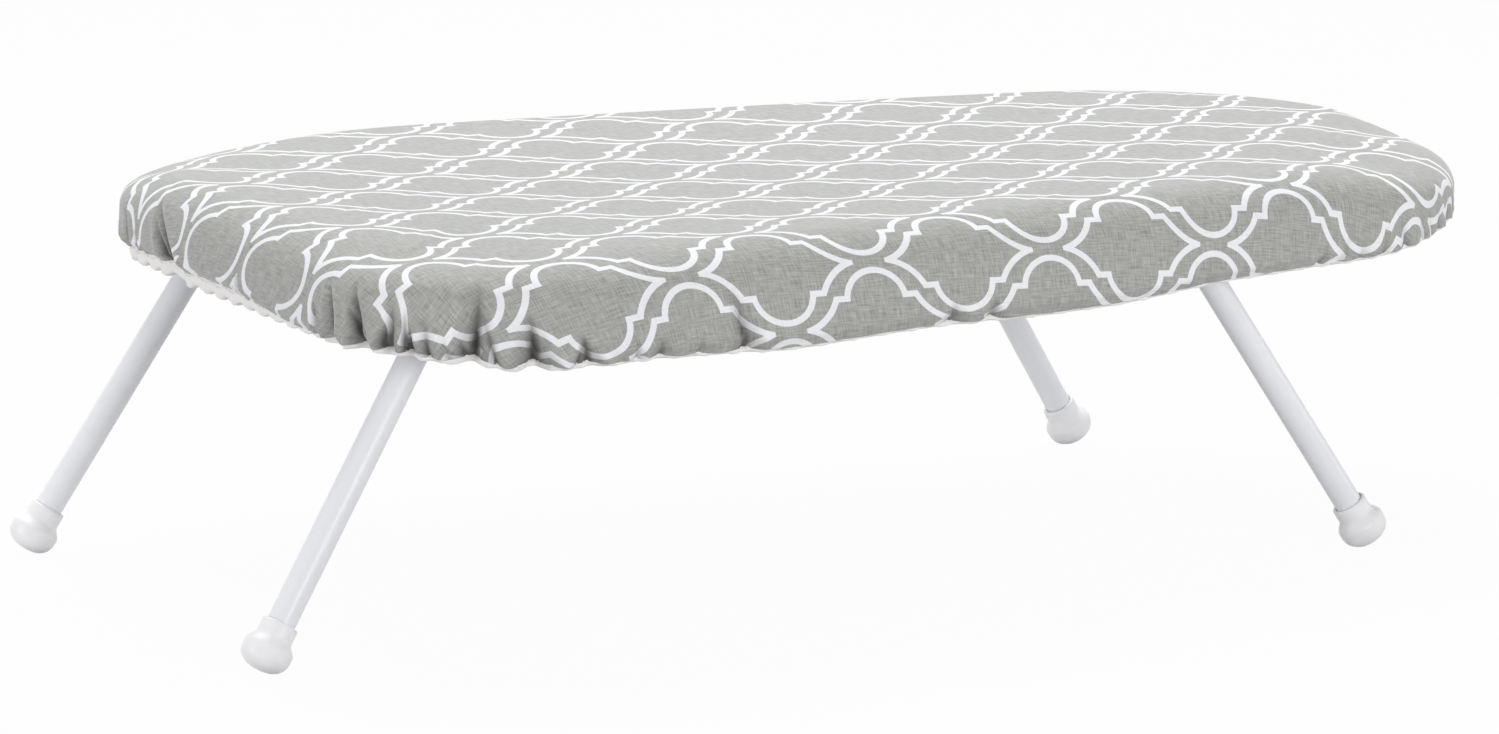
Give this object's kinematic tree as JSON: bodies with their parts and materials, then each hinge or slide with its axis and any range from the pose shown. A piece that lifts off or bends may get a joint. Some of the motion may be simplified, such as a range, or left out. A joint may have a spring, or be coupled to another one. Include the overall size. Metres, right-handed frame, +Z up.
{
  "type": "tabletop ironing board",
  "caption": "Low padded ironing board for a table top: blunt end, rounded nose, gathered trellis-print cover and folding splayed tube legs with knob feet.",
  "frame": {"origin": "on the table, under the middle of the whole stand's box, with the feet on z = 0", "axes": "+X along the board towards the nose, +Y to the far side in the picture, +Z up"},
  "size_m": [0.6598, 0.3958, 0.178],
  "materials": {
    "print": "printed cotton, grey with a white trellis",
    "tape": "cream bias tape",
    "felt": "pressed felt",
    "elastic": "braided elastic",
    "enamel": "gloss white powder coat",
    "zinc": "bright zinc plate",
    "vinyl": "soft satin white plastic"
  },
  "bodies": {
    "board": {"mesh_panel": "enamel", "rim_frame": "enamel", "pad": "felt", "cover": "print", "hem_binding": "tape", "hem_elastic": "elastic", "blunt_hinge_plate": "zinc", "blunt_saddle_near": "zinc", "blunt_rivet_near_inner": "zinc", "blunt_rivet_near_outer": "zinc", "blunt_saddle_far": "zinc", "blunt_rivet_far_inner": "zinc", "blunt_rivet_far_outer": "zinc", "nose_hinge_plate": "zinc", "nose_saddle_near": "zinc", "nose_rivet_near_inner": "zinc", "nose_rivet_near_outer": "zinc", "nose_saddle_far": "zinc", "nose_rivet_far_inner": "zinc", "nose_rivet_far_outer": "zinc"},
    "blunt_legs": {"blunt_leg_frame": "enamel", "blunt_foot_near": "vinyl", "blunt_foot_far": "vinyl"},
    "nose_legs": {"nose_leg_frame": "enamel", "nose_foot_near": "vinyl", "nose_foot_far": "vinyl"}
  },
  "joints": [
    {"name": "blunt_leg_fold", "type": "hinge", "parent": "board", "child": "blunt_legs", "pos_m": [-0.22746, 0, 0.15425], "axis": [0, -1, 0], "range_deg": [0, 121]},
    {"name": "nose_leg_fold", "type": "hinge", "parent": "board", "child": "nose_legs", "pos_m": [0.13954, 0, 0.15425], "axis": [0, 1, 0], "range_deg": [0, 121]}
  ]
}
